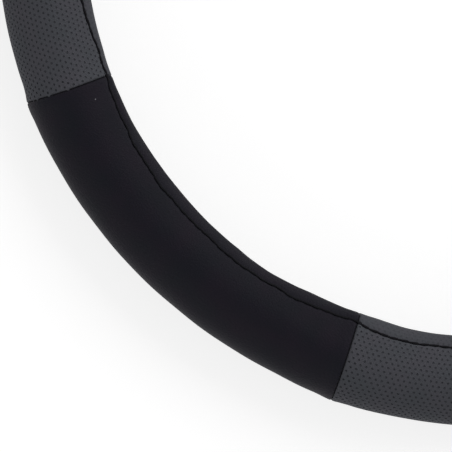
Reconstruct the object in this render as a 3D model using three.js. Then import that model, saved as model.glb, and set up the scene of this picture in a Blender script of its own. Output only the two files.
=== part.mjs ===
// Slip-on steering wheel cover for a 38 cm wheel, in millimetres, +Z up.
// The ring lies on its back on z = 0, with its centre on the Z axis. Its section is an oval
// tube that is open towards the centre, so that it can be pulled over the rim of a wheel.
// Eight leather panels are sewn end to end round a moulded rubber ring. Each panel's long
// edges are hemmed round the ring's two flanges and held there by a row of stitches.
import * as THREE from 'three';

// Driving dimensions of the ring and its oval section
const OUTER_DIAMETER = 380;
const SECTION_WIDTH = 34.6;
const SECTION_DEPTH = 36;
const SLOT_WIDTH = 11;

// Leather, and the clearance that is left wherever two pieces lie on each other
const LEATHER = 1.1;
const CLEARANCE = 0.3;

// Moulded rubber ring: its flanges, its main wall, and the grip ridges inside
const FLANGE = 1.6;
const RUBBER_WALL = 2.6;
const RIDGE_HEIGHT = 0.9;
const RIDGE_COUNT = 9;
const RIDGE_REACH_DEG = 104;

// Hem stitching: its distance from the flange's edge, and the groove that it pulls in
const STITCH_INSET = 6.4;
const GROOVE_DEPTH = 0.75;
const GROOVE_HALF_WIDTH = 1.8;
const HEM_PAST_STITCH = 3;
const HEM_THREAD_RADIUS = 0.35;

// Seams between the panels: raised by the edges that are turned under, with a V between them
const SEAM_RISE = 0.8;
const SEAM_ALLOWANCE = 7;
const SEAM_ROUNDING_LENGTH = 1.2;
const SEAM_ROUNDING_DEPTH = 0.65;
const SEAM_THREAD_RADIUS = 0.25;

// Four plain panels and four perforated ones take turns
const PANEL_PAIRS = 4;
const PLAIN_PANEL_DEG = 50;
const PANEL_STEPS = 6;

// The front and back each have a narrow flat, which starts at this angle from the outermost
// point and is as wide on the far side; the curve between the two flats has this many steps
const FLAT_FROM_DEG = 78;
const CURVE_STEPS = 6;

// Steps in the half turn of a hem, on the outer and the inner face of its fold
const FOLD_STEPS = 4;
const INNER_FOLD_STEPS = 3;

const rad = THREE.MathUtils.degToRad;
const flatAngle = rad(FLAT_FROM_DEG);
const radialHalf = SECTION_WIDTH / 2;
const axialHalf = SECTION_DEPTH / 2 / Math.sin(flatAngle);
const meanHalf = (radialHalf + axialHalf) / 2;
const sectionRadius = OUTER_DIAMETER / 2 - radialHalf;
const hemInner = LEATHER + CLEARANCE + FLANGE + CLEARANCE;
const hemOuter = hemInner + LEATHER;
const foldRadius = hemOuter / 2;
const foldInnerRadius = foldRadius - LEATHER;
const lipAngle = Math.PI - Math.asin((SLOT_WIDTH / 2 + foldRadius) / (axialHalf - foldRadius));
const stitchAngle = lipAngle - STITCH_INSET / meanHalf;
const grooveAngle = GROOVE_HALF_WIDTH / meanHalf;
const hemAngle = stitchAngle - HEM_PAST_STITCH / meanHalf;

const blackLeather = new THREE.MeshStandardMaterial({ color: 0x1d1d21, roughness: 0.55, metalness: 0 });
const greyLeather = new THREE.MeshStandardMaterial({ color: 0x404144, roughness: 0.62, metalness: 0 });
const blackRubber = new THREE.MeshStandardMaterial({ color: 0x17171a, roughness: 0.8, metalness: 0 });
const blackThread = new THREE.MeshStandardMaterial({ color: 0x0c0c0e, roughness: 0.7, metalness: 0 });

// Outward normal of the section's oval at an angle, with x radial and y axial.
function sectionNormal(angle) {
  return new THREE.Vector2(Math.cos(angle) / radialHalf, Math.sin(angle) / axialHalf).normalize();
}

// Point of the section at an angle, this deep below its outer face.
function sectionPoint(angle, depth) {
  const face = new THREE.Vector2(radialHalf * Math.cos(angle), axialHalf * Math.sin(angle));
  return face.addScaledVector(sectionNormal(angle), -depth);
}

// Angles from one end of the section to the other that are the same on both halves.
function mirrored(angles) {
  return [...angles.filter((a) => a > 0).map((a) => -a), ...angles].sort((a, b) => a - b);
}

// Half turn of the hem round a flange, in even steps, at the front (side 1) or back (side -1).
function hemFold(side, radius, steps) {
  const angle = side * lipAngle;
  const normal = sectionNormal(angle);
  const tangent = new THREE.Vector2(-side * normal.y, side * normal.x);
  const centre = sectionPoint(angle, foldRadius);
  const points = [];
  for (let i = 1; i < steps; i++) {
    const turn = (Math.PI * i) / steps;
    const point = centre.clone().addScaledVector(normal, radius * Math.cos(turn));
    points.push(point.addScaledVector(tangent, radius * Math.sin(turn)));
  }
  return points;
}

// Corners of the section between the two grooves: the curve, with the far ends of the flats.
const curveStep = (2 * flatAngle) / CURVE_STEPS;
const curveAngles = Array.from({ length: CURVE_STEPS + 1 }, (_, i) => i * curveStep - flatAngle);
const bodyAngles = [flatAngle - Math.PI, ...curveAngles, Math.PI - flatAngle];

// Depth of a layer's face at an angle. All layers are pinched together by the stitches.
function pinched(angle, depth) {
  return Math.abs(angle) === stitchAngle ? depth + GROOVE_DEPTH : depth;
}

// How far the edges turned under at a seam lift the leather there. The front and back stay flat.
function seamLift(angle) {
  return Math.abs(angle) < flatAngle ? SEAM_RISE * Math.cos(angle) ** 2 : 0;
}

// Outline of a panel's section, anticlockwise. At a seam the skin is raised by lift times the
// seam's rise, and pressed in to at least minDepth where it turns down into the seam.
function panelSection(lift, minDepth) {
  const skinAngles = mirrored([stitchAngle - grooveAngle, stitchAngle, stitchAngle + grooveAngle, lipAngle])
    .concat(bodyAngles).sort((a, b) => a - b);
  const skin = skinAngles.map((a) => sectionPoint(a, Math.max(pinched(a, 0), minDepth) - lift * seamLift(a)));
  const hem = [lipAngle, stitchAngle, hemAngle];
  const under = mirrored([stitchAngle, lipAngle]).concat(bodyAngles).sort((a, b) => b - a);
  return [
    ...skin,
    ...hemFold(1, foldRadius, FOLD_STEPS),
    ...hem.map((a) => sectionPoint(a, hemOuter)),
    ...hem.toReversed().map((a) => sectionPoint(a, hemInner)),
    ...hemFold(1, foldInnerRadius, INNER_FOLD_STEPS).reverse(),
    ...under.map((a) => sectionPoint(a, pinched(a, LEATHER))),
    ...hemFold(-1, foldInnerRadius, INNER_FOLD_STEPS),
    ...hem.map((a) => sectionPoint(-a, hemInner)),
    ...hem.toReversed().map((a) => sectionPoint(-a, hemOuter)),
    ...hemFold(-1, foldRadius, FOLD_STEPS).reverse(),
  ];
}

// Outline of the rubber ring's section: a C whose flanges are thin and whose wall is ridged.
function rubberSection() {
  const outside = mirrored([stitchAngle, lipAngle]).concat(bodyAngles).sort((a, b) => a - b);
  const face = LEATHER + CLEARANCE;
  const wallFace = face + RUBBER_WALL;
  const shoulder = hemAngle - (CLEARANCE + LEATHER) / meanHalf;
  const flangeInside = [lipAngle, stitchAngle, shoulder];
  const ridges = [];
  for (let i = 0; i <= 2 * RIDGE_COUNT; i++) {
    const angle = rad(RIDGE_REACH_DEG) * (1 - i / RIDGE_COUNT);
    ridges.push(sectionPoint(angle, wallFace + (i % 2) * RIDGE_HEIGHT));
  }
  return [
    ...outside.map((a) => sectionPoint(a, pinched(a, face))),
    ...flangeInside.map((a) => sectionPoint(a, face + FLANGE)),
    ...ridges,
    ...flangeInside.toReversed().map((a) => sectionPoint(-a, face + FLANGE)),
  ];
}

// Small diamond round a point, for the section of a thread.
function diamond(centre, radius) {
  return [0, 1, 2, 3].map((i) => {
    const turn = (Math.PI * i) / 2;
    return new THREE.Vector2(centre.x + radius * Math.cos(turn), centre.y + radius * Math.sin(turn));
  });
}

// Turns a flat section into a ring of 3D points, at an angle round the wheel's axis.
function atAngle(section, angle) {
  const axis = new THREE.Vector3(0, 0, 1);
  return section.map((p) => new THREE.Vector3(sectionRadius + p.x, 0, p.y).applyAxisAngle(axis, angle));
}

// Skin of faces over a row of rings with the same number of points. The loft is closed by caps
// shaped like capSection, or back onto its first ring where there is none.
function loft(rings, capSection) {
  const count = rings[0].length;
  const index = [];
  const last = capSection ? rings.length - 1 : rings.length;
  for (let k = 0; k < last; k++) {
    const here = k * count;
    const next = ((k + 1) % rings.length) * count;
    for (let i = 0; i < count; i++) {
      const j = (i + 1) % count;
      index.push(here + i, here + j, next + j, here + i, next + j, next + i);
    }
  }
  if (capSection) {
    const end = (rings.length - 1) * count;
    for (const [a, b, c] of THREE.ShapeUtils.triangulateShape(capSection, [])) {
      index.push(c, b, a, end + a, end + b, end + c);
    }
  }
  const geometry = new THREE.BufferGeometry().setFromPoints(rings.flat());
  geometry.setIndex(index);
  geometry.computeVertexNormals();
  return geometry;
}

// Angles of the sections in a panel's level stretch, between its two raised ends.
function levelAngles(spanDeg) {
  const end = rad(spanDeg) / 2 - (CLEARANCE / 2 + SEAM_ALLOWANCE) / sectionRadius;
  return Array.from({ length: PANEL_STEPS + 1 }, (_, i) => end * (1 - (2 * i) / PANEL_STEPS));
}

// One leather panel with its hems and its turned-under ends, centred on the X axis.
function panelGeometry(spanDeg) {
  const edge = rad(spanDeg) / 2 - CLEARANCE / 2 / sectionRadius;
  const brow = edge - SEAM_ROUNDING_LENGTH / sectionRadius;
  const edgeSection = panelSection(1, SEAM_ROUNDING_DEPTH);
  const browSection = panelSection(1, 0);
  const levelSection = panelSection(0, 0);
  const rings = [
    atAngle(edgeSection, edge),
    atAngle(browSection, brow),
    ...levelAngles(spanDeg).map((a) => atAngle(levelSection, a)),
    atAngle(browSection, -brow),
    atAngle(edgeSection, -edge),
  ];
  return loft(rings, levelSection);
}

const perforatedPanelDeg = 360 / PANEL_PAIRS - PLAIN_PANEL_DEG;
const pairAngle = (2 * Math.PI) / PANEL_PAIRS;

// The angles of all the panels' level sections, one after another round the wheel.
function ringAngles() {
  const angles = [];
  for (let k = 0; k < PANEL_PAIRS; k++) {
    const middle = -k * pairAngle;
    angles.push(...levelAngles(perforatedPanelDeg).map((a) => middle + a));
    angles.push(...levelAngles(PLAIN_PANEL_DEG).map((a) => middle - pairAngle / 2 + a));
  }
  return angles;
}

// The moulded ring that grips the wheel.
function rubberGeometry() {
  return loft(ringAngles().map((a) => atAngle(rubberSection(), a)));
}

// The row of hem stitches on the front, as one thread in its groove.
function hemThreadGeometry() {
  const depth = GROOVE_DEPTH - CLEARANCE - HEM_THREAD_RADIUS;
  const section = diamond(sectionPoint(stitchAngle, depth), HEM_THREAD_RADIUS);
  return loft(ringAngles().map((a) => atAngle(section, a)));
}

// The thread in the V between two panels, from one hem groove to the other, on the X axis.
function seamThreadGeometry() {
  const section = diamond(new THREE.Vector2(0, 0), SEAM_THREAD_RADIUS);
  const end = stitchAngle - grooveAngle;
  const rings = [-end, ...bodyAngles, end].map((angle) => section.map((p) => {
    const point = sectionPoint(angle, SEAM_ROUNDING_DEPTH / 2 - seamLift(angle) - p.x);
    return new THREE.Vector3(sectionRadius + point.x, p.y, point.y);
  }));
  return loft(rings, section);
}

function addPiece(parent, name, geometry, material) {
  const mesh = new THREE.Mesh(geometry, material);
  mesh.name = name;
  parent.add(mesh);
  return mesh;
}

const cover = new THREE.Group();
const ring = new THREE.Group();
ring.position.z = SECTION_DEPTH / 2;
cover.add(ring);

addPiece(ring, 'rubber_grip_ring', rubberGeometry(), blackRubber);

const plainPanel = panelGeometry(PLAIN_PANEL_DEG);
const perforatedPanel = panelGeometry(perforatedPanelDeg);
const seamThread = seamThreadGeometry();
for (let k = 0; k < PANEL_PAIRS; k++) {
  const pair = new THREE.Group();
  pair.rotation.z = k * pairAngle;
  ring.add(pair);
  addPiece(pair, `perforated_panel_${k + 1}`, perforatedPanel, greyLeather);
  addPiece(pair, `plain_panel_${k + 1}`, plainPanel, blackLeather).rotation.z = pairAngle / 2;
  const seamAngle = rad(perforatedPanelDeg) / 2;
  addPiece(pair, `seam_thread_${2 * k + 1}`, seamThread, blackThread).rotation.z = seamAngle;
  addPiece(pair, `seam_thread_${2 * k + 2}`, seamThread, blackThread).rotation.z = pairAngle - seamAngle;
}

const hemThread = hemThreadGeometry();
addPiece(ring, 'front_hem_stitching', hemThread, blackThread);
addPiece(ring, 'back_hem_stitching', hemThread, blackThread).rotation.x = Math.PI;

export default cover;
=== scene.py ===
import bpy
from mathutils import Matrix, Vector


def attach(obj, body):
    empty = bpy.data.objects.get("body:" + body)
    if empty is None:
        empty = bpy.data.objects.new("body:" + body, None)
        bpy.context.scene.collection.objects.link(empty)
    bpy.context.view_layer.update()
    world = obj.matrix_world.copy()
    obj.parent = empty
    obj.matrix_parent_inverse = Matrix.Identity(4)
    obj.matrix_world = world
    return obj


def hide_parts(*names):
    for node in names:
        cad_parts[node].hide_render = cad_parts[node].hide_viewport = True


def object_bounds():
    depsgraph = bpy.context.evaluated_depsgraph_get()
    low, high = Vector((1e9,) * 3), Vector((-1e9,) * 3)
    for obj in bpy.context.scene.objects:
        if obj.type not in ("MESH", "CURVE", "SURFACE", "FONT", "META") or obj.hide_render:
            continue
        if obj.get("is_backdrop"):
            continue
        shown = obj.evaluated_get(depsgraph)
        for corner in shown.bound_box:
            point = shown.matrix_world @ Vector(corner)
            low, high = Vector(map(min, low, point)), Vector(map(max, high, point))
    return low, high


bl_info = {
    "name": "Steering wheel cover",
    "version": (1, 0, 0),
    "blender": (4, 5, 0),
    "location": "3D View > Sidebar > Wheel Cover",
    "description": "Builds a stitched slip-on steering wheel cover with its studio",
    "category": "Object",
}

import math

import bmesh
import bpy
import numpy as np
from mathutils import Matrix, Vector

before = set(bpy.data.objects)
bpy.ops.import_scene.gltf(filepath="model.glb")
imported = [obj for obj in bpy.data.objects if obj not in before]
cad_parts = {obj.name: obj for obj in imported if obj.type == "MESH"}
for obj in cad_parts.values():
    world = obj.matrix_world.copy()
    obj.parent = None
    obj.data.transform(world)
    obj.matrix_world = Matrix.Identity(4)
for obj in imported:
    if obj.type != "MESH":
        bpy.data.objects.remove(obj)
CAD_LOW, CAD_HIGH = (list(corner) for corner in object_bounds())

MM = 0.001
PAIRS = 4
RAD = math.radians


def linear(hex_colour):
    """Linear red, green and blue of an sRGB colour written as 0xRRGGBB."""
    channels = ((hex_colour >> shift & 255) / 255 for shift in (16, 8, 0))
    return tuple(c / 12.92 if c <= 0.04045 else ((c + 0.055) / 1.055) ** 2.4 for c in channels)


def length(name, description, millimetres):
    return bpy.props.FloatProperty(
        name=name, description=description, default=millimetres * MM, min=0, precision=5,
        unit="LENGTH", subtype="DISTANCE")


def angle(name, description, degrees):
    return bpy.props.FloatProperty(
        name=name, description=description, default=RAD(degrees), unit="ROTATION", subtype="ANGLE")


def colour(name, description, hex_colour):
    return bpy.props.FloatVectorProperty(
        name=name, description=description, default=linear(hex_colour), size=3, min=0, max=1,
        subtype="COLOR")


class CoverSizes(bpy.types.PropertyGroup):
    """Sizes of the cover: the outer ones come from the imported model"""

    outer_diameter: length(
        "Outer diameter", "Across the whole ring", (CAD_HIGH[0] - CAD_LOW[0]) / MM)
    depth: length(
        "Section depth", "From the back of the ring to the front", (CAD_HIGH[2] - CAD_LOW[2]) / MM)
    width: length("Section width", "Across the ring's section, as seen from the front", 34.6)
    slot: length("Slot", "Opening towards the centre, between the two hems", 11)
    flat_from: angle(
        "Flat from", "Where the flat strip that the cover lies on starts in the section", 78)
    leather: length("Leather", "Thickness of the leather", 1.1)
    clearance: length("Clearance", "Left between layers that lie on each other", 0.3)
    flange: length("Flange", "Thickness of the rubber ring's edges", 1.6)
    wall: length("Rubber wall", "Thickness of the rubber ring elsewhere", 2.6)
    ridge: length("Grip ridge", "Height of the rubber ring's ridges", 0.9)
    plain_span: angle("Plain panel", "Angle that a smooth black panel takes round the wheel", 50)
    stitch_inset: length("Stitch inset", "From the flange's edge to the hem stitches", 6.4)
    hem_past_stitch: length(
        "Hem past the stitches", "Leather that is left inside beyond the stitches", 3)
    groove: length("Groove depth", "How far the hem stitches pull the leather in", 0.75)
    groove_reach: length("Groove reach", "How far from the stitches the leather dips", 1.3)
    hem_stitch: length("Hem stitch", "From one hem stitch to the next", 3.9)
    hem_thread: length("Hem thread", "Diameter of the hem thread", 1.02)
    seam_rise: length(
        "Seam rise", "How far the turned-under edges lift the leather at a seam", 0.65)
    seam_allowance: length("Seam allowance", "Width of the edges turned under at a seam", 7)
    seam_gap: length("Seam gap", "Left between two panels for the thread in their seam", 0.18)
    seam_rounding: length(
        "Seam rounding", "Radius with which a panel turns down into its seam", 0.85)
    seam_stitch: length("Seam stitch", "From one seam stitch to the next", 2.4)
    seam_thread: length("Seam thread", "Diameter of the seam thread", 0.46)
    seam_thread_depth: length(
        "Seam thread depth", "From the leather's face to the thread's middle", 0.5)
    hole: length("Perforation", "Diameter of a hole in the perforated leather", 0.85)
    hole_pitch: length("Perforation pitch", "Between holes of one row, round the wheel", 2.15)
    row_pitch: length("Row pitch", "Between neighbouring rows of holes", 1.8)
    hole_depth: length("Perforation depth", "Down to the backing under the holes", 0.22)


class CoverColours(bpy.types.PropertyGroup):
    """Colours of the cover's leathers, rubber and thread"""

    black_leather: colour("Black leather", "Smooth panels", 0x16151C)
    grey_leather: colour("Grey leather", "Perforated panels", 0x424348)
    backing: colour("Backing", "Seen at the bottom of the perforations", 0x3E3F44)
    rubber: colour("Rubber", "Moulded ring inside", 0x151516)
    thread: colour("Thread", "Hem and seam stitches", 0x131316)


def sizes():
    return bpy.context.scene.cover_sizes


def colours():
    return bpy.context.scene.cover_colours


def smooth_step(t):
    t = np.clip(t, 0, 1)
    return t * t * (3 - 2 * t)


def bump(distance, reach):
    """1 at no distance, falling smoothly to about nothing at twice the reach."""
    return np.exp(-((distance / reach) ** 2))


# The flat strip at the back ends where the sine of the angle in the section rises past the
# first number, and its effect has faded out where that sine has risen by the second as well
BACK_STRIP = -0.97
BACK_FADE = 0.12


def off_the_back(around):
    """0 on the flat strip at the back, on which the cover lies, and 1 everywhere else."""
    return smooth_step((np.sin(around) - BACK_STRIP) / BACK_FADE)


# Points on the hem's fold among which the ring's innermost edge is looked for
FOLD_SAMPLES = 60


class Section:
    """The ring's C-shaped section, measured along the leather's outer face from the outermost
    point: the front is positive. It runs over each lip, round the hem's fold and back inside."""

    def __init__(self):
        s = sizes()
        self.radial = s.width / 2
        self.axial = s.depth / 2 / math.sin(s.flat_from)
        self.mean = (self.radial + self.axial) / 2
        self.ring = s.outer_diameter / 2 - self.radial
        self.hem_inner = s.leather + s.clearance + s.flange + s.clearance
        self.hem_outer = self.hem_inner + s.leather
        self.fold = self.hem_outer / 2
        slot_centre = s.slot / 2 + self.fold
        self.lip_angle = math.pi - math.asin(slot_centre / (self.axial - self.fold))
        self.lip = self.lip_angle * self.mean
        self.fold_end = self.lip + math.pi * self.fold
        self.hem_radius = self.mean - self.hem_outer
        hem_angle = (s.stitch_inset + s.hem_past_stitch) / self.mean
        self.hem_end = self.fold_end + hem_angle * self.hem_radius
        self.height = s.depth / 2
        over_the_fold = np.linspace(self.lip, self.fold_end, FOLD_SAMPLES)
        self.edge = self.place(over_the_fold, np.zeros(FOLD_SAMPLES))[0].min()

    def point(self, angle_, depth):
        """Radial and axial place and the outward normal at an angle, this deep below the face."""
        normal = np.stack([np.cos(angle_) / self.radial, np.sin(angle_) / self.axial])
        normal = normal / np.linalg.norm(normal, axis=0)
        face = np.stack([self.radial * np.cos(angle_), self.axial * np.sin(angle_)])
        return face - depth * normal, normal

    def place(self, arc, depth):
        """Radial distance from the wheel's axis and height, for places along the leather."""
        side = np.where(arc < 0, -1.0, 1.0)
        along = np.abs(arc)
        body, _ = self.point(np.minimum(along, self.lip) / self.mean, depth)
        # The fold: a half turn about a centre that lies inside the lip
        centre, normal = self.point(np.full_like(along, self.lip_angle), self.fold)
        tangent = np.stack([-normal[1], normal[0]])
        turn = np.clip(along - self.lip, 0, math.pi * self.fold) / self.fold
        radius = self.fold - depth
        folded = centre + radius * (np.cos(turn) * normal + np.sin(turn) * tangent)
        # The hem lies back along the inside of the flange, with its outer face to the wheel
        back = self.lip_angle - np.maximum(along - self.fold_end, 0) / self.hem_radius
        hem, _ = self.point(back, self.hem_outer - depth)
        across = np.where(along <= self.lip, body, np.where(along <= self.fold_end, folded, hem))
        return self.ring + across[0], side * across[1]


def seam_angles():
    """Where the seams are round the wheel, in order, starting after the +X direction."""
    perforated = math.tau / PAIRS - sizes().plain_span
    found = []
    for pair in range(PAIRS):
        found.append(pair * math.tau / PAIRS + perforated / 2)
        found.append((pair + 1) * math.tau / PAIRS - perforated / 2)
    return found


# The sewn leather's unevenness round the wheel, as places in degrees and millimetres there:
# from the inner edge to the dark line of the hem stitches, and how far the inner and outer
# edges stand out. From 190 to 264 degrees they follow the photograph, and the rest is made up
STITCHES_FROM_EDGE = (
    (188, 3.9), (192, 3.0), (194, 2.5), (196, 2.0), (200, 1.3), (202, 2.6), (208, 2.9),
    (209.5, 3.6), (213, 4.0), (216.5, 4.6), (222, 4.2), (228, 4.1), (231, 4.5), (234, 3.7),
    (238, 3.9), (240.5, 4.5), (244, 4.2), (247, 3.6), (249, 3.5), (252, 4.9), (255, 5.0),
    (258, 4.5), (264, 4.4), (280, 3.9), (300, 4.5), (320, 3.6), (345, 4.4), (12, 4.0),
    (20, 3.2), (50, 4.5), (71, 3.5), (105, 4.5), (140, 3.8), (165, 4.5))
# The thread itself lies this much nearer to the edge than the dark line
THREAD_NEARER = 0.35 * MM
INNER_EDGE = (
    (186, 0.5), (190, 0.8), (196, 0.7), (200, 0.1), (203, 0.45), (207.5, 0.05), (214, 0.4),
    (218, 0.4), (225, 0.1), (231, 0.05), (231.8, -0.3), (236, -0.3), (238, 0.15), (240.5, 0.5),
    (242, 0.9), (248, 0.9), (250, 0.8), (252, 1.1), (254, 0.7), (256.5, 0.2), (260, 0.2),
    (263, 0.45), (290, 0.1), (305, 0.6), (335, 0.0), (350, 0.5), (35, 0.7), (60, 0.0), (85, 0.6),
    (120, 0.1), (150, 0.7), (170, 0.1))
OUTER_EDGE = (
    (188, -0.35), (196, -0.25), (199.4, -0.6), (200.9, 0.5), (204, 0.5), (211, 0.2), (220, 0.05),
    (227, -0.2), (237, -0.3), (243, -0.1), (248, 0.5), (250, 0.45), (252, 0.95), (255, 0.8),
    (259, 0.5), (263, 0.7), (276, 0.2), (290, -0.1), (315, -0.3), (338, 0.1), (350, 0.3),
    (15, 0.2), (40, -0.3), (68, 0.1), (80, 0.35), (110, 0.2), (135, -0.3), (160, 0.1),
    (175, -0.2))
# Each height is the mean over these places, in degrees from where it is read
ROUNDED_OVER = (-0.7, -0.35, 0, 0.35, 0.7)


def round_wheel(theta, table):
    """The table's heights in metres at angles round the wheel, with its corners rounded off."""
    places, heights = zip(*table)
    places = np.radians(places)
    spread = np.radians(ROUNDED_OVER)
    found = (np.interp(theta + shift, places, heights, period=math.tau) for shift in spread)
    return sum(found) / len(spread) * MM


def stitch_line(section, theta):
    """Where the hem stitches run on the leather's face, for each angle round the wheel."""
    # A hand-guided row quivers by a tenth of a millimetre, here in waves of 10 and 16 mm
    quiver = 0.1 * MM * np.sin(61 * theta) + 0.08 * MM * np.sin(97 * theta + 1.3)
    edge = section.edge - 0.5 * round_wheel(theta, INNER_EDGE)
    from_edge = round_wheel(theta, STITCHES_FROM_EDGE) - THREAD_NEARER
    inwards = section.ring - edge - from_edge + quiver
    return (math.pi - np.arccos(inwards / section.radial)) * section.mean


def stitch_count(section):
    s = sizes()
    radius, _ = section.place(np.array([section.lip - s.stitch_inset]), np.zeros(1))
    return round(math.tau * radius[0] / s.hem_stitch)


def hem_pull(section, theta, arc):
    """How deep the hem stitches pull the layers in, most in the middle of each stitch."""
    s = sizes()
    distance = np.abs(arc) - stitch_line(section, theta)
    stitch = 0.5 + 0.5 * np.cos(stitch_count(section) * theta)
    # Between two stitches the groove is narrower and a fifth shallower
    width = s.groove_reach * (0.62 + 0.12 * stitch)
    return s.groove * (0.82 + 0.18 * stitch) * bump(distance, width)


def swell(section, theta, arc):
    """How far the leather stands out of its plain section, round the whole wheel."""
    around = arc / section.mean
    # The outer edge's heights fade out over the front and back, and the inner edge's from there
    # to the slot fade in
    outside = smooth_step((np.cos(around) + 0.35) / 0.9)
    inside = 1 - smooth_step((np.cos(around) + 0.85) / 0.5)
    total = round_wheel(theta, OUTER_EDGE) * outside + round_wheel(theta, INNER_EDGE) * inside
    # Faint waves of 20 to 35 mm, as hand-stretched leather has
    total += 0.05 * MM * np.sin(31 * theta + 2.1 * np.sin(2 * around))
    total += 0.04 * MM * np.sin(53 * theta + 3 * around) * np.cos(3 * around)
    return total * off_the_back(around)


# Height of the leather's puckers between seam stitches, and how far from the seam they reach
PUCKER = 0.1 * MM
PUCKER_REACH = 1.6 * MM


def seam_lift(section, seam_distance, arc):
    """Rise of the leather over the edges turned under, and its pucker between seam stitches."""
    s = sizes()
    around = np.clip(arc / section.mean, -math.pi, math.pi)
    # In full on the outside, and a third of that at the slot
    level = 0.35 + 0.65 * np.cos(around / 2) ** 2
    rise = s.seam_rise * smooth_step(1 - seam_distance / s.seam_allowance) * level
    pucker = PUCKER * np.sin(math.tau * arc / s.seam_stitch) * bump(seam_distance, PUCKER_REACH)
    return (rise + pucker) * off_the_back(around)


# How far each seam lies from its plain angle in the middle of the section, how much further on
# its outer end lies than its inner end, and how far both ends bow, in degrees and in their order
SEAM_PATHS = (
    (0.1, 0.3, 0.1), (-0.15, -0.2, 0), (0.2, 0.35, -0.15), (-0.1, 0.15, 0.1),
    (0.34, -0.46, -0.35), (-0.39, 0.24, 0), (0.15, -0.3, 0.1), (-0.2, 0.2, -0.1))


def seam_path(section, number, arc):
    """How far a seam lies from its plain angle, for places along the section."""
    shift, lean, bow = SEAM_PATHS[number]
    outwards = np.cos(np.clip(arc / section.mean, -math.pi, math.pi))
    return RAD(1) * (shift + lean / 2 * outwards + bow * outwards ** 2)


def stand_out(section, theta, arc):
    """How far the leather's face stands out at places round the wheel, seams included."""
    from_seam = np.full_like(theta, math.tau * section.ring)
    for number, seam in enumerate(seam_angles()):
        away = theta - seam - seam_path(section, number, arc)
        away = np.abs((away + math.pi) % math.tau - math.pi)
        from_seam = np.minimum(from_seam, away * section.ring)
    return swell(section, theta, arc) + seam_lift(section, from_seam, arc)


# The seam whose grey edge pushes out between the stitches in small nubs, their places along it
# and their size in millimetres
NUB_SEAM = 4
NUBS = (9.9, 12.6, 18.9, 27.0)
NUB = 0.5


# How far past the lip the leather's face is still pulled and lifted, and how far over the fold
# what is left of the lift fades out
SKIN_END = 0.5 * MM
FOLD_FADE = 3 * MM


def bend(section, theta, arc, depth, stand):
    """Puts flat points in their place round the wheel: angle, place along the section, depth
    below the leather's face, and how far the face stands out there."""
    pull = hem_pull(section, theta, arc)
    past_lip = np.abs(arc) - section.lip
    face = np.where(past_lip <= SKIN_END, pull - stand, -stand * bump(past_lip, FOLD_FADE))
    _, face_height = section.place(arc, face)
    radius, height = section.place(arc, depth + face)
    # The flat strip at the back: what would reach below it is pushed up in its whole thickness
    height += section.height + np.maximum(-section.height - face_height, 0)
    height = np.maximum(height, 0)
    return np.stack([radius * np.cos(theta), radius * np.sin(theta), height], axis=1)


def coordinates(mesh):
    found = np.empty(len(mesh.vertices) * 3, np.float32)
    mesh.vertices.foreach_get("co", found)
    return found.reshape(-1, 3).astype(float)


def set_coordinates(mesh, places):
    mesh.vertices.foreach_set("co", places.astype(np.float32).ravel())
    mesh.update()


def piece(name, mesh, materials, slot=None, *replaced):
    """Adds a finished mesh to the scene as one piece of the cover."""
    mesh.name = name
    shown = bpy.data.objects.new(name, mesh)
    for material in materials:
        mesh.materials.append(material)
    bpy.context.scene.collection.objects.link(shown)
    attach(shown, "root")
    if replaced:
        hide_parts(*replaced)
    return shown


# Leather panels

# Rows of faces round a hem's fold and on the hem inside
FOLD_STEPS = 12
HEM_STEPS = 5
# Places of the columns in a panel's rounded ends, and the length that is kept for such an end,
# both as shares of the rounding's radius
END_COLUMNS = (0, 0.14, 0.33, 0.57, 0.83)
END_LENGTH = 1.4
# The hidden flesh side keeps one column in so many
FLESH_SIDE_COARSER = 4
# Edges that turn more than this are sharp
SHARP = RAD(60)


# Closer than this, in metres, two heights on a flat panel are the same
TINY = 1e-6


def single(places):
    """The places as a mesh stores them, so that its vertices can be looked up by place."""
    return [float(place) for place in np.array(places, np.float32)]


def panel_rows(section):
    """Places along the section of a panel's rows, and how many lie before the first even one."""
    s = sizes()
    step = s.row_pitch / 2
    half_count = int(section.lip / step)
    skin = [i * step for i in range(-half_count, half_count + 1)]
    fold_length = section.fold_end - section.lip
    fold = [section.lip + fold_length * i / FOLD_STEPS for i in range(FOLD_STEPS + 1)]
    hem_length = section.hem_end - section.fold_end
    hem = [section.fold_end + hem_length * i / HEM_STEPS for i in range(1, HEM_STEPS + 1)]
    edge = fold + hem
    return single([-a for a in reversed(edge)] + skin + edge), len(edge)


def panel_halves(section, span):
    """Half a panel's length round the wheel, and half the length that its even columns take."""
    half = span / 2 * section.ring - sizes().seam_gap / 2
    return half, half - sizes().seam_rounding * END_LENGTH


def panel_columns(section, span):
    """Places round the wheel of a panel's columns, and how many lie before the first even one."""
    s = sizes()
    half, inner = panel_halves(section, span)
    holes = round(2 * inner / s.hole_pitch)
    between = [inner * (i / holes - 1) for i in range(2 * holes + 1)]
    ends = [half - share * s.seam_rounding for share in END_COLUMNS]
    return single([-x for x in ends] + between + list(reversed(ends))), len(ends)


def flat_leather(columns, rows):
    """A flat grid of leather with the given columns and rows, with its back still open."""
    sheet = bmesh.new()
    bmesh.ops.create_grid(sheet, x_segments=len(columns) - 1, y_segments=len(rows) - 1, size=1)
    last_column, last_row = len(columns) - 1, len(rows) - 1
    for vertex in sheet.verts:
        i = round((vertex.co.x + 1) / 2 * last_column)
        j = round((vertex.co.y + 1) / 2 * last_row)
        vertex.co = (columns[i], rows[j], 0)
    return sheet


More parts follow.
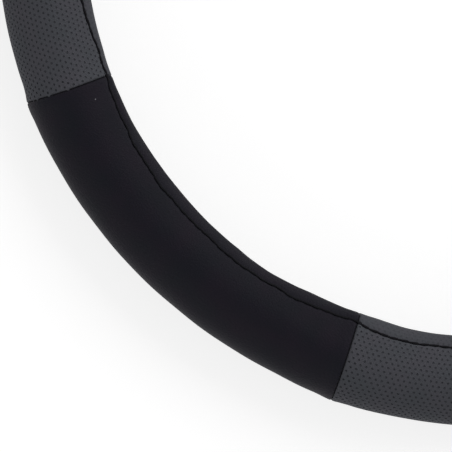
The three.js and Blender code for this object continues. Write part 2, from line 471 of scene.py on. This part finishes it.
def add_back(sheet, thickness, columns, coarse):
    """Gives the flat leather its thickness, and thins out the columns of its hidden flesh side."""
    bmesh.ops.solidify(sheet, geom=sheet.faces[:], thickness=thickness)
    low = min(v.co.z for v in sheet.verts)
    high = max(v.co.z for v in sheet.verts)
    bmesh.ops.translate(sheet, verts=sheet.verts[:], vec=(0, 0, -high))
    kept = {*columns[::coarse], columns[0], columns[-1]}
    level = low - high + TINY
    spare = [
        e for e in sheet.edges
        if all(v.co.z < level for v in e.verts)
        and e.verts[0].co.x == e.verts[1].co.x
        and e.verts[0].co.x not in kept]
    bmesh.ops.dissolve_edges(sheet, edges=spare, use_verts=True)


def perforate(sheet, section, columns, rows, first_column, first_row, middle):
    """Cuts the staggered holes in the face of a flat panel, between its two rows of stitches."""
    s = sizes()
    column_of = {x: i for i, x in enumerate(columns)}
    row_of = {y: j for j, y in enumerate(rows)}
    last = len(columns) - 2 * first_column - 1
    turns = middle + np.array(columns) / section.ring
    limits = stitch_line(section, turns) - s.hole / 2 - s.hem_thread / 2
    limit_of = dict(zip(columns, limits))
    centres = []
    for vertex in sheet.verts:
        x, y, z = vertex.co
        if z < -TINY or abs(y) > limit_of[x]:
            continue
        i, j = column_of[x] - first_column, row_of[y] - first_row
        staggered = j % 2 == 1 and i % 2 == j // 2 % 2
        if staggered and 0 <= i <= last:
            centres.append(vertex)
    bmesh.ops.dissolve_verts(sheet, verts=centres)
    cells = [f for f in sheet.faces if len(f.verts) == 8 and f.normal.z > 0.5]
    middles = []
    for cell in cells:
        across = sorted(column_of[v.co.x] for v in cell.verts)
        along = sorted(row_of[v.co.y] for v in cell.verts)
        centre_column = (across[0] + across[-1]) // 2
        centre_row = (along[0] + along[-1]) // 2
        middles.append(Vector((columns[centre_column], rows[centre_row], 0)))
    bmesh.ops.inset_individual(sheet, faces=cells, thickness=s.row_pitch / 8, use_even_offset=True)
    # The inset cells become regular octagons: each corner moves out to its side of the middle
    for cell, middle in zip(cells, middles):
        for vertex in cell.verts:
            side = (round((vertex.co - middle)[axis] / (0.2 * MM)) for axis in (0, 1))
            outwards = Vector([(step > 0) - (step < 0) for step in side] + [0])
            vertex.co = middle + outwards.normalized() * s.hole / 2
    rims = {e for cell in cells for e in cell.edges}
    for edge in rims:
        edge.smooth = False
    walls = bmesh.ops.inset_individual(
        sheet, faces=cells, thickness=s.hole / 12, depth=-s.hole_depth)["faces"]
    for face in walls + cells:
        face.material_index = 1


def flat_panel(section, span, perforated_at=None):
    """One flat closed panel with its map in metres, perforated for its place round the wheel."""
    s = sizes()
    rows, first_row = panel_rows(section)
    columns, first_column = panel_columns(section, span)
    sheet = flat_leather(columns, rows)
    add_back(sheet, s.leather, columns, FLESH_SIDE_COARSER)
    if perforated_at is not None:
        perforate(sheet, section, columns, rows, first_column, first_row, perforated_at)
    for face in sheet.faces:
        face.smooth = True
    for edge in sheet.edges:
        if edge.is_manifold and edge.calc_face_angle() > SHARP:
            edge.smooth = False
    mapped = sheet.loops.layers.uv.new("leather")
    for face in sheet.faces:
        for loop in face.loops:
            loop[mapped].uv = loop.vert.co.xy
    mesh = bpy.data.meshes.new("flat_panel")
    sheet.to_mesh(mesh)
    sheet.free()
    return mesh


# How far from a seam a panel is still drawn to one side with it, and how much of the section's
# outermost edge has a flatter seam
SEAM_PULL = 25 * MM
OUTERMOST = 7 * MM


def bend_panel(section, mesh, middle, span, seams):
    """Bends a flat panel round the wheel about its middle angle, between its two seams."""
    s = sizes()
    across, arc, height = coordinates(mesh).T
    half, _ = panel_halves(section, span)
    from_seam = half - np.abs(across)
    near = smooth_step(1 - from_seam / SEAM_PULL)
    first, last = seams
    paths = seam_path(section, first, arc), seam_path(section, last, arc)
    shift = near * np.where(across < 0, *paths)
    # The outer face turns down into the seam in a quarter round, less at the outermost edge
    outermost = bump(arc, OUTERMOST)
    radius = s.seam_rounding * (1 + 0.16 * np.sin(math.tau * arc / s.seam_stitch + middle)
                                + 0.1 * np.sin(math.tau * arc / (2.7 * s.seam_stitch))
                                - 0.45 * outermost)
    inwards = np.clip(1 - from_seam / radius, 0, 1)
    drop = 0.82 * s.leather * (1 - 0.5 * outermost) * (1 - np.sqrt(1 - inwards ** 2))
    if last == NUB_SEAM:
        nub = sum(bump(arc - place * MM, NUB * MM) for place in NUBS) * (across > 0)
        across = across + NUB * MM * nub * inwards
        drop = drop * (1 - 0.7 * nub)
    depth = -height
    face_share = 1 - np.clip(depth / s.leather, 0, 1)
    theta = middle + across / section.ring + shift
    stand = swell(section, theta, arc) + seam_lift(section, from_seam, arc) * face_share
    set_coordinates(mesh, bend(section, theta, arc, depth + drop * face_share, stand))


def add_panel(section, name, tint, middle, span, seams, materials, slot, perforated_at=None):
    """Makes one panel between two seams, in place of the CAD's panel of this name."""
    mesh = flat_panel(section, span, perforated_at)
    bend_panel(section, mesh, middle, span, seams)
    shown = piece(f"{tint}_{name}", mesh, materials, slot, name)


class COVER_OT_plain_panels(bpy.types.Operator):
    """Smooth black leather panels, hemmed round the rubber ring's two flanges"""

    bl_idname = "cover.plain_panels"
    bl_label = "Plain Panels"

    def execute(self, context):
        section = Section()
        span = sizes().plain_span
        materials = [black_leather()]
        for pair in range(PAIRS):
            middle = (pair + 0.5) * math.tau / PAIRS
            seams = (2 * pair, 2 * pair + 1)
            add_panel(section, f"plain_panel_{pair + 1}", "black", middle, span, seams,
                      materials, "black_leather")
        return {"FINISHED"}


class COVER_OT_perforated_panels(bpy.types.Operator):
    """Grey leather panels with staggered rows of small holes, hemmed in the same way"""

    bl_idname = "cover.perforated_panels"
    bl_label = "Perforated Panels"

    def execute(self, context):
        section = Section()
        span = math.tau / PAIRS - sizes().plain_span
        materials = [grey_leather(span), leather_backing()]
        for pair in range(PAIRS):
            middle = pair * math.tau / PAIRS
            seams = ((2 * pair - 1) % (2 * PAIRS), 2 * pair)
            add_panel(section, f"perforated_panel_{pair + 1}", "grey", middle, span, seams,
                      materials, "grey_perforated_leather", middle)
        return {"FINISHED"}


# Rubber ring

# Steps round the wheel, and the ridges, with how far both ways from the outermost point they
# reach in the section, in degrees
RING_STEPS = 240
RIDGE_COUNT = 9
RIDGE_REACH = 104
STEPS_A_RIDGE = 8
FACE_STEPS = 64
FLANGE_STEPS = 9
RUBBER_ROUNDING = 0.4 * MM


def rubber_outline(section):
    """The rubber ring's section as places along it and depths, closed and without repeats."""
    s = sizes()
    face = s.leather + s.clearance
    inner = face + s.wall
    edge = section.lip
    shoulder = section.lip - s.stitch_inset - s.hem_past_stitch - (s.clearance + s.leather) * 1.2
    reach = RAD(RIDGE_REACH) * section.mean
    end = edge - RUBBER_ROUNDING
    outside = [(x, face) for x in np.linspace(-end, end, FACE_STEPS)]
    lip = [(edge, face + RUBBER_ROUNDING), (edge, face + s.flange - RUBBER_ROUNDING)]
    flange = [(x, face + s.flange) for x in np.linspace(end, shoulder, FLANGE_STEPS)]
    ridges = [
        (x, inner + s.ridge * (0.5 - 0.5 * math.cos(math.pi * RIDGE_COUNT * (reach - x) / reach)))
        for x in np.linspace(reach, -reach, STEPS_A_RIDGE * RIDGE_COUNT + 1)]
    return outside + lip + flange + ridges + [(-x, depth) for x, depth in reversed(lip + flange)]


class COVER_OT_rubber_ring(bpy.types.Operator):
    """Moulded rubber ring inside the leather, with flanges and ridges that grip the rim"""

    bl_idname = "cover.rubber_ring"
    bl_label = "Rubber Ring"

    def execute(self, context):
        section = Section()
        outline = rubber_outline(section)
        # A tube opened out flat: its columns go round the wheel and its rows round the section
        tube = bmesh.new()
        bmesh.ops.create_grid(tube, x_segments=RING_STEPS, y_segments=len(outline), size=1)
        theta, arc, depth = [], [], []
        for vertex in tube.verts:
            row = round((vertex.co.y + 1) / 2 * len(outline)) % len(outline)
            theta.append((vertex.co.x + 1) * math.pi)
            arc.append(outline[row][0])
            depth.append(outline[row][1])
        theta, arc, depth = np.array(theta), np.array(arc), np.array(depth)
        places = bend(section, theta, arc, depth, swell(section, theta, arc))
        for vertex, place in zip(tube.verts, places):
            vertex.co = place
        bmesh.ops.remove_doubles(tube, verts=tube.verts[:], dist=0.01 * MM)
        bmesh.ops.recalc_face_normals(tube, faces=tube.faces[:])
        for face in tube.faces:
            face.smooth = True
        mesh = bpy.data.meshes.new("ring")
        tube.to_mesh(mesh)
        tube.free()
        piece("moulded_rubber_ring", mesh, [rubber()], "black_rubber", "rubber_grip_ring")
        return {"FINISHED"}


# Stitches

STITCH_SIDES = 8
STITCH_STEPS = 6


def quarter_turn(mesh, axis):
    """Turns a bmesh by 90 degrees about an axis through the origin."""
    turn = Matrix.Rotation(RAD(90), 3, axis)
    bmesh.ops.rotate(mesh, verts=mesh.verts[:], cent=(0, 0, 0), matrix=turn)


def thread_stitch(length_, diameter, dip):
    """One flat stitch along x: a thread whose ends thin out and dip into the leather."""
    stitch = bmesh.new()
    bmesh.ops.create_circle(stitch, cap_ends=False, segments=STITCH_SIDES, radius=diameter / 2)
    quarter_turn(stitch, "Y")
    bmesh.ops.translate(stitch, verts=stitch.verts[:], vec=(-length_ / 2, 0, 0))
    bmesh.ops.spin(
        stitch, geom=stitch.verts[:] + stitch.edges[:], cent=(0, 0, 0), axis=(0, 0, 1),
        dvec=(length_ / STITCH_STEPS, 0, 0), angle=0, steps=STITCH_STEPS)
    ends = [e for e in stitch.edges if e.is_boundary]
    bmesh.ops.holes_fill(stitch, edges=ends, sides=STITCH_SIDES)
    for vertex in stitch.verts:
        end = abs(vertex.co.x) / (length_ / 2)
        slim = 1 - 0.45 * end ** 2
        vertex.co.y *= slim
        vertex.co.z = vertex.co.z * slim - dip * end ** 4
    bmesh.ops.recalc_face_normals(stitch, faces=stitch.faces[:])
    for face in stitch.faces:
        face.smooth = True
    return stitch


def repeated(stitch, count, step):
    """A mesh with copies of one stitch in a straight row, this step apart."""
    first = stitch.verts[:] + stitch.edges[:] + stitch.faces[:]
    for index in range(1, count):
        copy = bmesh.ops.duplicate(stitch, geom=first)["geom"]
        vertices = [g for g in copy if isinstance(g, bmesh.types.BMVert)]
        bmesh.ops.translate(stitch, verts=vertices, vec=Vector(step) * index)
    mesh = bpy.data.meshes.new("row")
    stitch.to_mesh(mesh)
    stitch.free()
    return mesh


class COVER_OT_hem_stitching(bpy.types.Operator):
    """Row of stitches through the hem, on the front and on the back"""

    bl_idname = "cover.hem_stitching"
    bl_label = "Hem Stitching"

    def execute(self, context):
        s = sizes()
        section = Section()
        count = stitch_count(section)
        pitch = math.tau * section.ring / count
        slant = 0.22 * MM * pitch / s.hem_stitch
        # The ends of neighbouring stitches overlap in their shared needle hole
        stitch = thread_stitch(1.08 * pitch, s.hem_thread, 0.15 * MM)
        row = repeated(stitch, count, (pitch, 0, 0))
        thread = bonded_thread()
        for side, name in ((1, "front_hem_stitching"), (-1, "back_hem_stitching")):
            mesh = row.copy()
            across, sideways, height = coordinates(mesh).T
            theta = across / section.ring
            # Each stitch slants a little, as a lock stitch does
            along = (across / pitch + 0.5) % 1 - 0.5
            arc = side * (stitch_line(section, theta) + sideways + slant * along)
            # The thread lies in the groove, with its top about level with the leather round it
            depth = -s.hem_thread * 0.18 - height - s.groove * 0.12
            set_coordinates(mesh, bend(section, theta, arc, depth, stand_out(section, theta, arc)))
            if side < 0:
                mesh.flip_normals()
            piece(f"{name}_thread", mesh, [thread], "black_thread", name)
        bpy.data.meshes.remove(row)
        return {"FINISHED"}


class COVER_OT_seam_stitching(bpy.types.Operator):
    """Stitches that run along the bottom of each seam between two panels"""

    bl_idname = "cover.seam_stitching"
    bl_label = "Seam Stitching"

    def execute(self, context):
        s = sizes()
        section = Section()
        count = round(2 * section.lip / s.seam_stitch)
        pitch = 2 * section.lip / count
        thread = bonded_thread()
        for number, seam in enumerate(seam_angles()):
            stitch = thread_stitch(1.15 * pitch, s.seam_thread, 0.2 * MM)
            quarter_turn(stitch, "Z")
            bmesh.ops.translate(stitch, verts=stitch.verts[:], vec=(0, pitch / 2 - section.lip, 0))
            mesh = repeated(stitch, count, (0, pitch, 0))
            across, arc, height = coordinates(mesh).T
            theta = seam + across / section.ring + seam_path(section, number, arc)
            stand = swell(section, theta, arc) + seam_lift(section, np.zeros_like(arc), arc)
            set_coordinates(mesh, bend(section, theta, arc, s.seam_thread_depth - height, stand))
            name = f"seam_thread_{number + 1}"
            piece(f"seam_stitches_{number + 1}", mesh, [thread], "black_thread", name)
        return {"FINISHED"}


# Degrees round the wheel, and for the lint also millimetres along the section
KNOTS_AT = (200.3, 249.8)
LINT_AT = (202.7, 35.5)
KNOT_RADIUS = 0.95 * MM
LINT_RADIUS = 0.2 * MM


class COVER_OT_loose_ends(bpy.types.Operator):
    """Knots that tie off the hem thread in front, and a speck of lint on the black leather"""

    bl_idname = "cover.loose_ends"
    bl_label = "Knots and Lint"

    def execute(self, context):
        section = Section()
        thread = bonded_thread()
        turn, place = LINT_AT
        lumps = [("lint_speck", RAD(turn), place * MM, 0, LINT_RADIUS, cotton_lint())]
        depth = sizes().groove * 0.1
        for number, turn in enumerate(KNOTS_AT, 1):
            name = f"hem_thread_knot_{number}"
            place = stitch_line(section, np.array([RAD(turn)]))[0]
            lumps.append((name, RAD(turn), place, depth, KNOT_RADIUS, thread))
        for name, turn, place, depth, radius, material in lumps:
            lump = bmesh.new()
            bmesh.ops.create_icosphere(lump, subdivisions=2, radius=radius)
            bmesh.ops.scale(lump, verts=lump.verts[:], vec=(1.2, 0.8, 0.6))
            for face in lump.faces:
                face.smooth = True
            mesh = bpy.data.meshes.new(name)
            lump.to_mesh(mesh)
            lump.free()
            across, sideways, height = coordinates(mesh).T
            theta = turn + across / section.ring
            stand = stand_out(section, theta, place + sideways)
            set_coordinates(mesh, bend(section, theta, place + sideways, depth - height, stand))
            piece(name, mesh, [material])
        return {"FINISHED"}


# Materials

def add_node(tree, kind, inputs=(), outputs=(), **settings):
    """Adds a node with its settings. inputs are (socket, value or socket), outputs are links out."""
    node = tree.nodes.new(kind)
    for key, value in settings.items():
        setattr(node, key, value)
    for name, value in inputs:
        if isinstance(value, bpy.types.NodeSocket):
            tree.links.new(value, node.inputs[name])
        else:
            node.inputs[name].default_value = value
    for name, target in outputs:
        tree.links.new(node.outputs[name], target)
    return node


def new_material(name):
    material = bpy.data.materials.new(name)
    material.use_nodes = True
    return material, material.node_tree, material.node_tree.nodes["Principled BSDF"]


# Corrected grain is pressed 0.3 to 0.5 mm wide, too fine to show, so it is drawn wider
GRAIN = 0.7 * MM
GRAIN_HEIGHT = 0.13 * MM


def leather_grain(tree, shader, dents=None):
    """Pebbled grain as fine bumps along the leather's own map, which it returns."""
    place = add_node(tree, "ShaderNodeUVMap", uv_map="leather").outputs["UV"]
    pebbles = add_node(
        tree, "ShaderNodeTexVoronoi", [("Vector", place), ("Scale", 1 / GRAIN)],
        feature="SMOOTH_F1", voronoi_dimensions="2D")
    # Pores and creases run over two grains
    pores = add_node(
        tree, "ShaderNodeTexNoise", [("Vector", place), ("Scale", 0.5 / GRAIN), ("Detail", 3.0)],
        noise_dimensions="2D")
    mixed = add_node(
        tree, "ShaderNodeMath", [(0, pebbles.outputs["Distance"]), (1, pores.outputs["Fac"])],
        operation="ADD")
    if dents:
        mixed = add_node(
            tree, "ShaderNodeMath", [(0, dents), (1, -1.5), (2, mixed.outputs[0])],
            operation="MULTIPLY_ADD")
    add_node(
        tree, "ShaderNodeBump",
        [("Height", mixed.outputs[0]), ("Strength", 0.8), ("Distance", GRAIN_HEIGHT)],
        [("Normal", shader.inputs["Normal"])])
    return place


def mottled(tree, place, tint, patch, amount, cast):
    """Colour that varies softly from a cool, darker tint to a warm, lighter one, in patches this
    many metres wide. amount is the share of light and dark, cast that of warm and cool."""
    cloud = add_node(
        tree, "ShaderNodeTexNoise", [("Vector", place), ("Scale", 1 / patch), ("Detail", 4.0)],
        noise_dimensions="2D")
    red, green, blue = tint
    dark, light = 1 - amount, 1 + amount
    cool = (red * (1 - cast) * dark, green * (1 + cast / 2) * dark, blue * dark, 1)
    warm = (red * (1 + cast) * light, green * (1 - cast / 2) * light, blue * light, 1)
    return add_node(
        tree, "ShaderNodeMix", [(0, cloud.outputs["Fac"]), (6, cool), (7, warm)],
        data_type="RGBA").outputs[2]


def black_leather():
    """Corrected-grain cow leather, dyed black and pressed smooth: nearly matt, with fine pebbles
    and a faint violet cast that comes and goes."""
    material, tree, shader = new_material("smooth_black_cow_leather")
    shader.inputs["Roughness"].default_value = 0.6
    shader.inputs["IOR"].default_value = 1.46
    shader.inputs["Specular IOR Level"].default_value = 0.07
    shader.inputs["Sheen Weight"].default_value = 0.03
    place = leather_grain(tree, shader)
    tint = mottled(tree, place, colours().black_leather, 14 * MM, 0.12, 0.2)
    tree.links.new(tint, shader.inputs["Base Color"])
    return material


# A hole that is only painted is this much of the leather's colour: painted shade in place of the
# shade inside a cut hole
PAINTED_HOLE_SHADE = 0.82


def painted_hole_dots(tree, place, span):
    """1 in the holes of the pattern. Past the hem stitches the holes are only painted, as dots of
    painted shade. Elsewhere the cut holes take their place."""
    s = sizes()
    _, inner = panel_halves(Section(), span)
    pitch = inner / round(2 * inner / s.hole_pitch) * 2
    nearest = []
    for column, row in ((0, 0.5), (0.5, 1.5)):
        to_hole = (inner - column * pitch, -row * s.row_pitch, 0)
        moved = add_node(
            tree, "ShaderNodeVectorMath", [(0, place), (1, to_hole)], operation="ADD")
        cell = add_node(
            tree, "ShaderNodeVectorMath",
            [(0, moved.outputs[0]), (1, (pitch / 2, s.row_pitch, 1)),
             (2, (-pitch / 2, -s.row_pitch, -1))],
            operation="WRAP")
        away = add_node(tree, "ShaderNodeVectorMath", [(0, cell.outputs[0])], operation="LENGTH")
        nearest.append(away.outputs["Value"])
    least = add_node(
        tree, "ShaderNodeMath", [(0, nearest[0]), (1, nearest[1])], operation="MINIMUM")
    return add_node(
        tree, "ShaderNodeMath", [(0, least.outputs[0]), (1, s.hole / 2)],
        operation="LESS_THAN").outputs[0]


def grey_leather(span):
    """Die-perforated cow leather, dyed dark grey: matt, with a fine grain and rows of holes."""
    material, tree, shader = new_material("perforated_grey_cow_leather")
    shader.inputs["Roughness"].default_value = 0.7
    shader.inputs["IOR"].default_value = 1.46
    shader.inputs["Specular IOR Level"].default_value = 0.1
    shader.inputs["Sheen Weight"].default_value = 0.03
    place = add_node(tree, "ShaderNodeUVMap", uv_map="leather").outputs["UV"]
    dots = painted_hole_dots(tree, place, span)
    leather_grain(tree, shader, dots)
    tint = mottled(tree, place, colours().grey_leather, 12 * MM, 0.06, 0.06)
    # Painted shade: where a hole is only painted, the leather is darkened as the shade in a hole
    # would darken it
    painted_shade = tuple(PAINTED_HOLE_SHADE * c for c in colours().grey_leather)
    seen = add_node(
        tree, "ShaderNodeMix", [(0, dots), (6, tint), (7, (*painted_shade, 1))], data_type="RGBA")
    tree.links.new(seen.outputs[2], shader.inputs["Base Color"])
    return material


def leather_backing():
    """Cut edge and foam backing in the perforations: darker than the leather, without gloss."""
    material, _, shader = new_material("leather_backing_foam")
    shader.inputs["Base Color"].default_value = (*colours().backing, 1)
    shader.inputs["Roughness"].default_value = 0.9
    shader.inputs["Specular IOR Level"].default_value = 0.1
    return material


def rubber():
    """Compression-moulded natural rubber: black and matt, with the texture of a blasted mould."""
    material, tree, shader = new_material("moulded_black_rubber")
    shader.inputs["Base Color"].default_value = (*colours().rubber, 1)
    shader.inputs["Roughness"].default_value = 0.75
    shader.inputs["IOR"].default_value = 1.52
    place = add_node(tree, "ShaderNodeTexCoord").outputs["Object"]
    # Grit blasting leaves pits of about 0.1 mm, too fine to show, so they are drawn at 0.4 mm
    pit = 0.4 * MM
    blasted = add_node(
        tree, "ShaderNodeTexNoise", [("Vector", place), ("Scale", 1 / pit), ("Detail", 2.0)])
    add_node(tree, "ShaderNodeBump",
             [("Height", blasted.outputs["Fac"]), ("Strength", 0.3), ("Distance", 0.03 * MM)],
             [("Normal", shader.inputs["Normal"])])
    return material


def bonded_thread():
    """Bonded nylon thread of three twisted plies: black and nearly matt under its bonding."""
    material, tree, shader = new_material("bonded_black_nylon_thread")
    shader.inputs["Base Color"].default_value = (*colours().thread, 1)
    shader.inputs["Roughness"].default_value = 0.75
    shader.inputs["IOR"].default_value = 1.53
    shader.inputs["Specular IOR Level"].default_value = 0.05
    place = add_node(tree, "ShaderNodeTexCoord").outputs["Object"]
    # A ply is about 0.35 mm wide, too fine to show, so the bands are drawn twice as far apart:
    # a wave's bands come 0.63 / scale apart
    ply = 0.35 * MM
    plies = add_node(
        tree, "ShaderNodeTexWave",
        [("Vector", place), ("Scale", 0.3 / ply), ("Distortion", 1.0)],
        bands_direction="DIAGONAL")
    add_node(tree, "ShaderNodeBump",
             [("Height", plies.outputs["Fac"]), ("Strength", 0.4), ("Distance", 0.06 * MM)],
             [("Normal", shader.inputs["Normal"])])
    return material


def cotton_lint():
    """Loose cotton lint: a pale, wholly matt speck."""
    material, _, shader = new_material("pale_cotton_lint")
    shader.inputs["Base Color"].default_value = (*linear(0x8A8A8E), 1)
    shader.inputs["Roughness"].default_value = 1
    return material


# Studio

# The picture's width, and in it the ring's centre, its scale and how far the ring is turned
PHOTO_WIDTH_PX = 452
RING_CENTRE_PX = (496.3, -75.5)
METRES_PER_PX = 0.3795 * MM
TURN_IN_PHOTO = RAD(1.1)
# Metres from the cover's front to the camera, and millimetres across its sensor
CAMERA_HEIGHT = 1.5
SENSOR = 36
# Half the floor's width, and the gap that keeps it from cutting into the cover's back
FLOOR_REACH = 6
FLOOR_GAP = 0.05 * MM
# Each softbox with its place, the length of its sides in metres and its watts. The low one
# reaches the lip round the slot
SOFTBOXES = (
    ("key_softbox", (1.25, 1.25, 1.7), 1.8, 33),
    ("fill_softbox", (-1.6, -1.6, 0.9), 1.6, 14),
    ("low_softbox", (1.5, 1.5, 0.25), 0.8, 12))


def seen_directly(tree):
    """1 for rays of the camera, reflections and transparency, and 0 for those that light things."""
    path = add_node(tree, "ShaderNodeLightPath")
    seen = path.outputs["Is Camera Ray"]
    for kind in ("Is Glossy Ray", "Is Transmission Ray"):
        seen = add_node(
            tree, "ShaderNodeMath", [(0, seen), (1, path.outputs[kind])],
            operation="MAXIMUM").outputs[0]
    return seen


def add_floor():
    """Plain pale floor, which keeps the cover's shadow and looks white to the camera."""
    slab = bmesh.new()
    bmesh.ops.create_grid(slab, x_segments=1, y_segments=1, size=FLOOR_REACH)
    mesh = bpy.data.meshes.new("floor")
    slab.to_mesh(mesh)
    slab.free()
    material = bpy.data.materials.new("pale_painted_floor")
    material.use_nodes = True
    tree = material.node_tree
    tree.nodes.remove(tree.nodes["Principled BSDF"])
    paint = add_node(tree, "ShaderNodeBsdfDiffuse", [("Color", (0.4, 0.4, 0.4, 1))])
    white = add_node(tree, "ShaderNodeEmission", [("Color", (1, 1, 1, 1)), ("Strength", 0.75)])
    both = add_node(tree, "ShaderNodeAddShader", [(0, paint.outputs[0]), (1, white.outputs[0])])
    add_node(
        tree, "ShaderNodeMixShader",
        [(0, seen_directly(tree)), (1, paint.outputs[0]), (2, both.outputs[0])],
        [(0, tree.nodes["Material Output"].inputs["Surface"])])
    mesh.materials.append(material)
    mesh.transform(Matrix.Translation((0, 0, -FLOOR_GAP)))
    floor = bpy.data.objects.new("floor", mesh)
    bpy.context.scene.collection.objects.link(floor)
    floor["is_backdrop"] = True


def add_world():
    """Plain soft surroundings, which look white to the camera."""
    world = bpy.data.worlds.new("studio")
    world.use_nodes = True
    bpy.context.scene.world = world
    tree = world.node_tree
    # The light comes more from the sides than from above, and so reaches the ring's flanks
    direction = add_node(tree, "ShaderNodeTexCoord").outputs["Generated"]
    upwards = add_node(tree, "ShaderNodeSeparateXYZ", [("Vector", direction)]).outputs["Z"]
    light = add_node(
        tree, "ShaderNodeMapRange",
        [("Value", upwards), ("From Min", 0.0), ("From Max", 0.7), ("To Min", 0.66),
         ("To Max", 0.31)])
    strength = add_node(
        tree, "ShaderNodeMix", [(0, seen_directly(tree)), (2, light.outputs["Result"]), (3, 1.0)])
    tree.links.new(strength.outputs[0], tree.nodes["Background"].inputs["Strength"])
    tree.nodes["Background"].inputs["Color"].default_value = (1, 1, 1, 1)


def add_softbox(name, place, side, watts):
    """Square lamp that shines at the ring's centre, and isn't seen by the camera."""
    lamp = bpy.data.lights.new(name, "AREA")
    lamp.shape = "SQUARE"
    lamp.size = side
    lamp.energy = watts
    shown = bpy.data.objects.new(name, lamp)
    shown.location = place
    shown.rotation_euler = (-Vector(place)).to_track_quat("-Z", "Y").to_euler()
    shown.visible_camera = False
    bpy.context.scene.collection.objects.link(shown)


def add_camera():
    """Camera that looks straight down on the part of the ring that the photograph shows."""
    centre_px = PHOTO_WIDTH_PX / 2
    seen = Vector((centre_px - RING_CENTRE_PX[0], RING_CENTRE_PX[1] - centre_px)) * METRES_PER_PX
    seen.rotate(Matrix.Rotation(-TURN_IN_PHOTO, 2))
    lens = bpy.data.cameras.new("camera")
    lens.sensor_width = SENSOR
    lens.lens = SENSOR * CAMERA_HEIGHT / (PHOTO_WIDTH_PX * METRES_PER_PX)
    lens.clip_end = 50
    camera = bpy.data.objects.new("camera", lens)
    camera.location = (seen.x, seen.y, sizes().depth / 2 + CAMERA_HEIGHT)
    camera.rotation_euler = (0, 0, -TURN_IN_PHOTO)
    bpy.context.scene.collection.objects.link(camera)
    bpy.context.scene.camera = camera


class COVER_OT_studio(bpy.types.Operator):
    """Pale floor, soft lamps and the camera above the lower left of the ring"""

    bl_idname = "cover.studio"
    bl_label = "Studio"

    def execute(self, context):
        context.scene.view_settings.view_transform = "Standard"
        add_camera()
        add_floor()
        add_world()
        for softbox in SOFTBOXES:
            add_softbox(*softbox)
        return {"FINISHED"}


class VIEW3D_PT_wheel_cover(bpy.types.Panel):
    """Sizes, colours and build steps of the steering wheel cover"""

    bl_label = "Steering Wheel Cover"
    bl_space_type = "VIEW_3D"
    bl_region_type = "UI"
    bl_category = "Wheel Cover"

    def draw(self, context):
        for step in STEPS:
            self.layout.operator(step.bl_idname)
        for group in (context.scene.cover_sizes, context.scene.cover_colours):
            for name in group.__annotations__:
                self.layout.prop(group, name)


STEPS = (
    COVER_OT_studio,
    COVER_OT_rubber_ring,
    COVER_OT_plain_panels,
    COVER_OT_perforated_panels,
    COVER_OT_hem_stitching,
    COVER_OT_seam_stitching,
    COVER_OT_loose_ends,
)
CLASSES = (CoverSizes, CoverColours, *STEPS, VIEW3D_PT_wheel_cover)


def register():
    for cls in CLASSES:
        bpy.utils.register_class(cls)
    bpy.types.Scene.cover_sizes = bpy.props.PointerProperty(type=CoverSizes)
    bpy.types.Scene.cover_colours = bpy.props.PointerProperty(type=CoverColours)


def unregister():
    del bpy.types.Scene.cover_colours
    del bpy.types.Scene.cover_sizes
    for cls in reversed(CLASSES):
        bpy.utils.unregister_class(cls)


def main():
    register()
    bpy.ops.cover.studio()
    bpy.ops.cover.rubber_ring()
    bpy.ops.cover.plain_panels()
    bpy.ops.cover.perforated_panels()
    bpy.ops.cover.hem_stitching()
    bpy.ops.cover.seam_stitching()
    bpy.ops.cover.loose_ends()


if __name__ == "__main__":
    main()
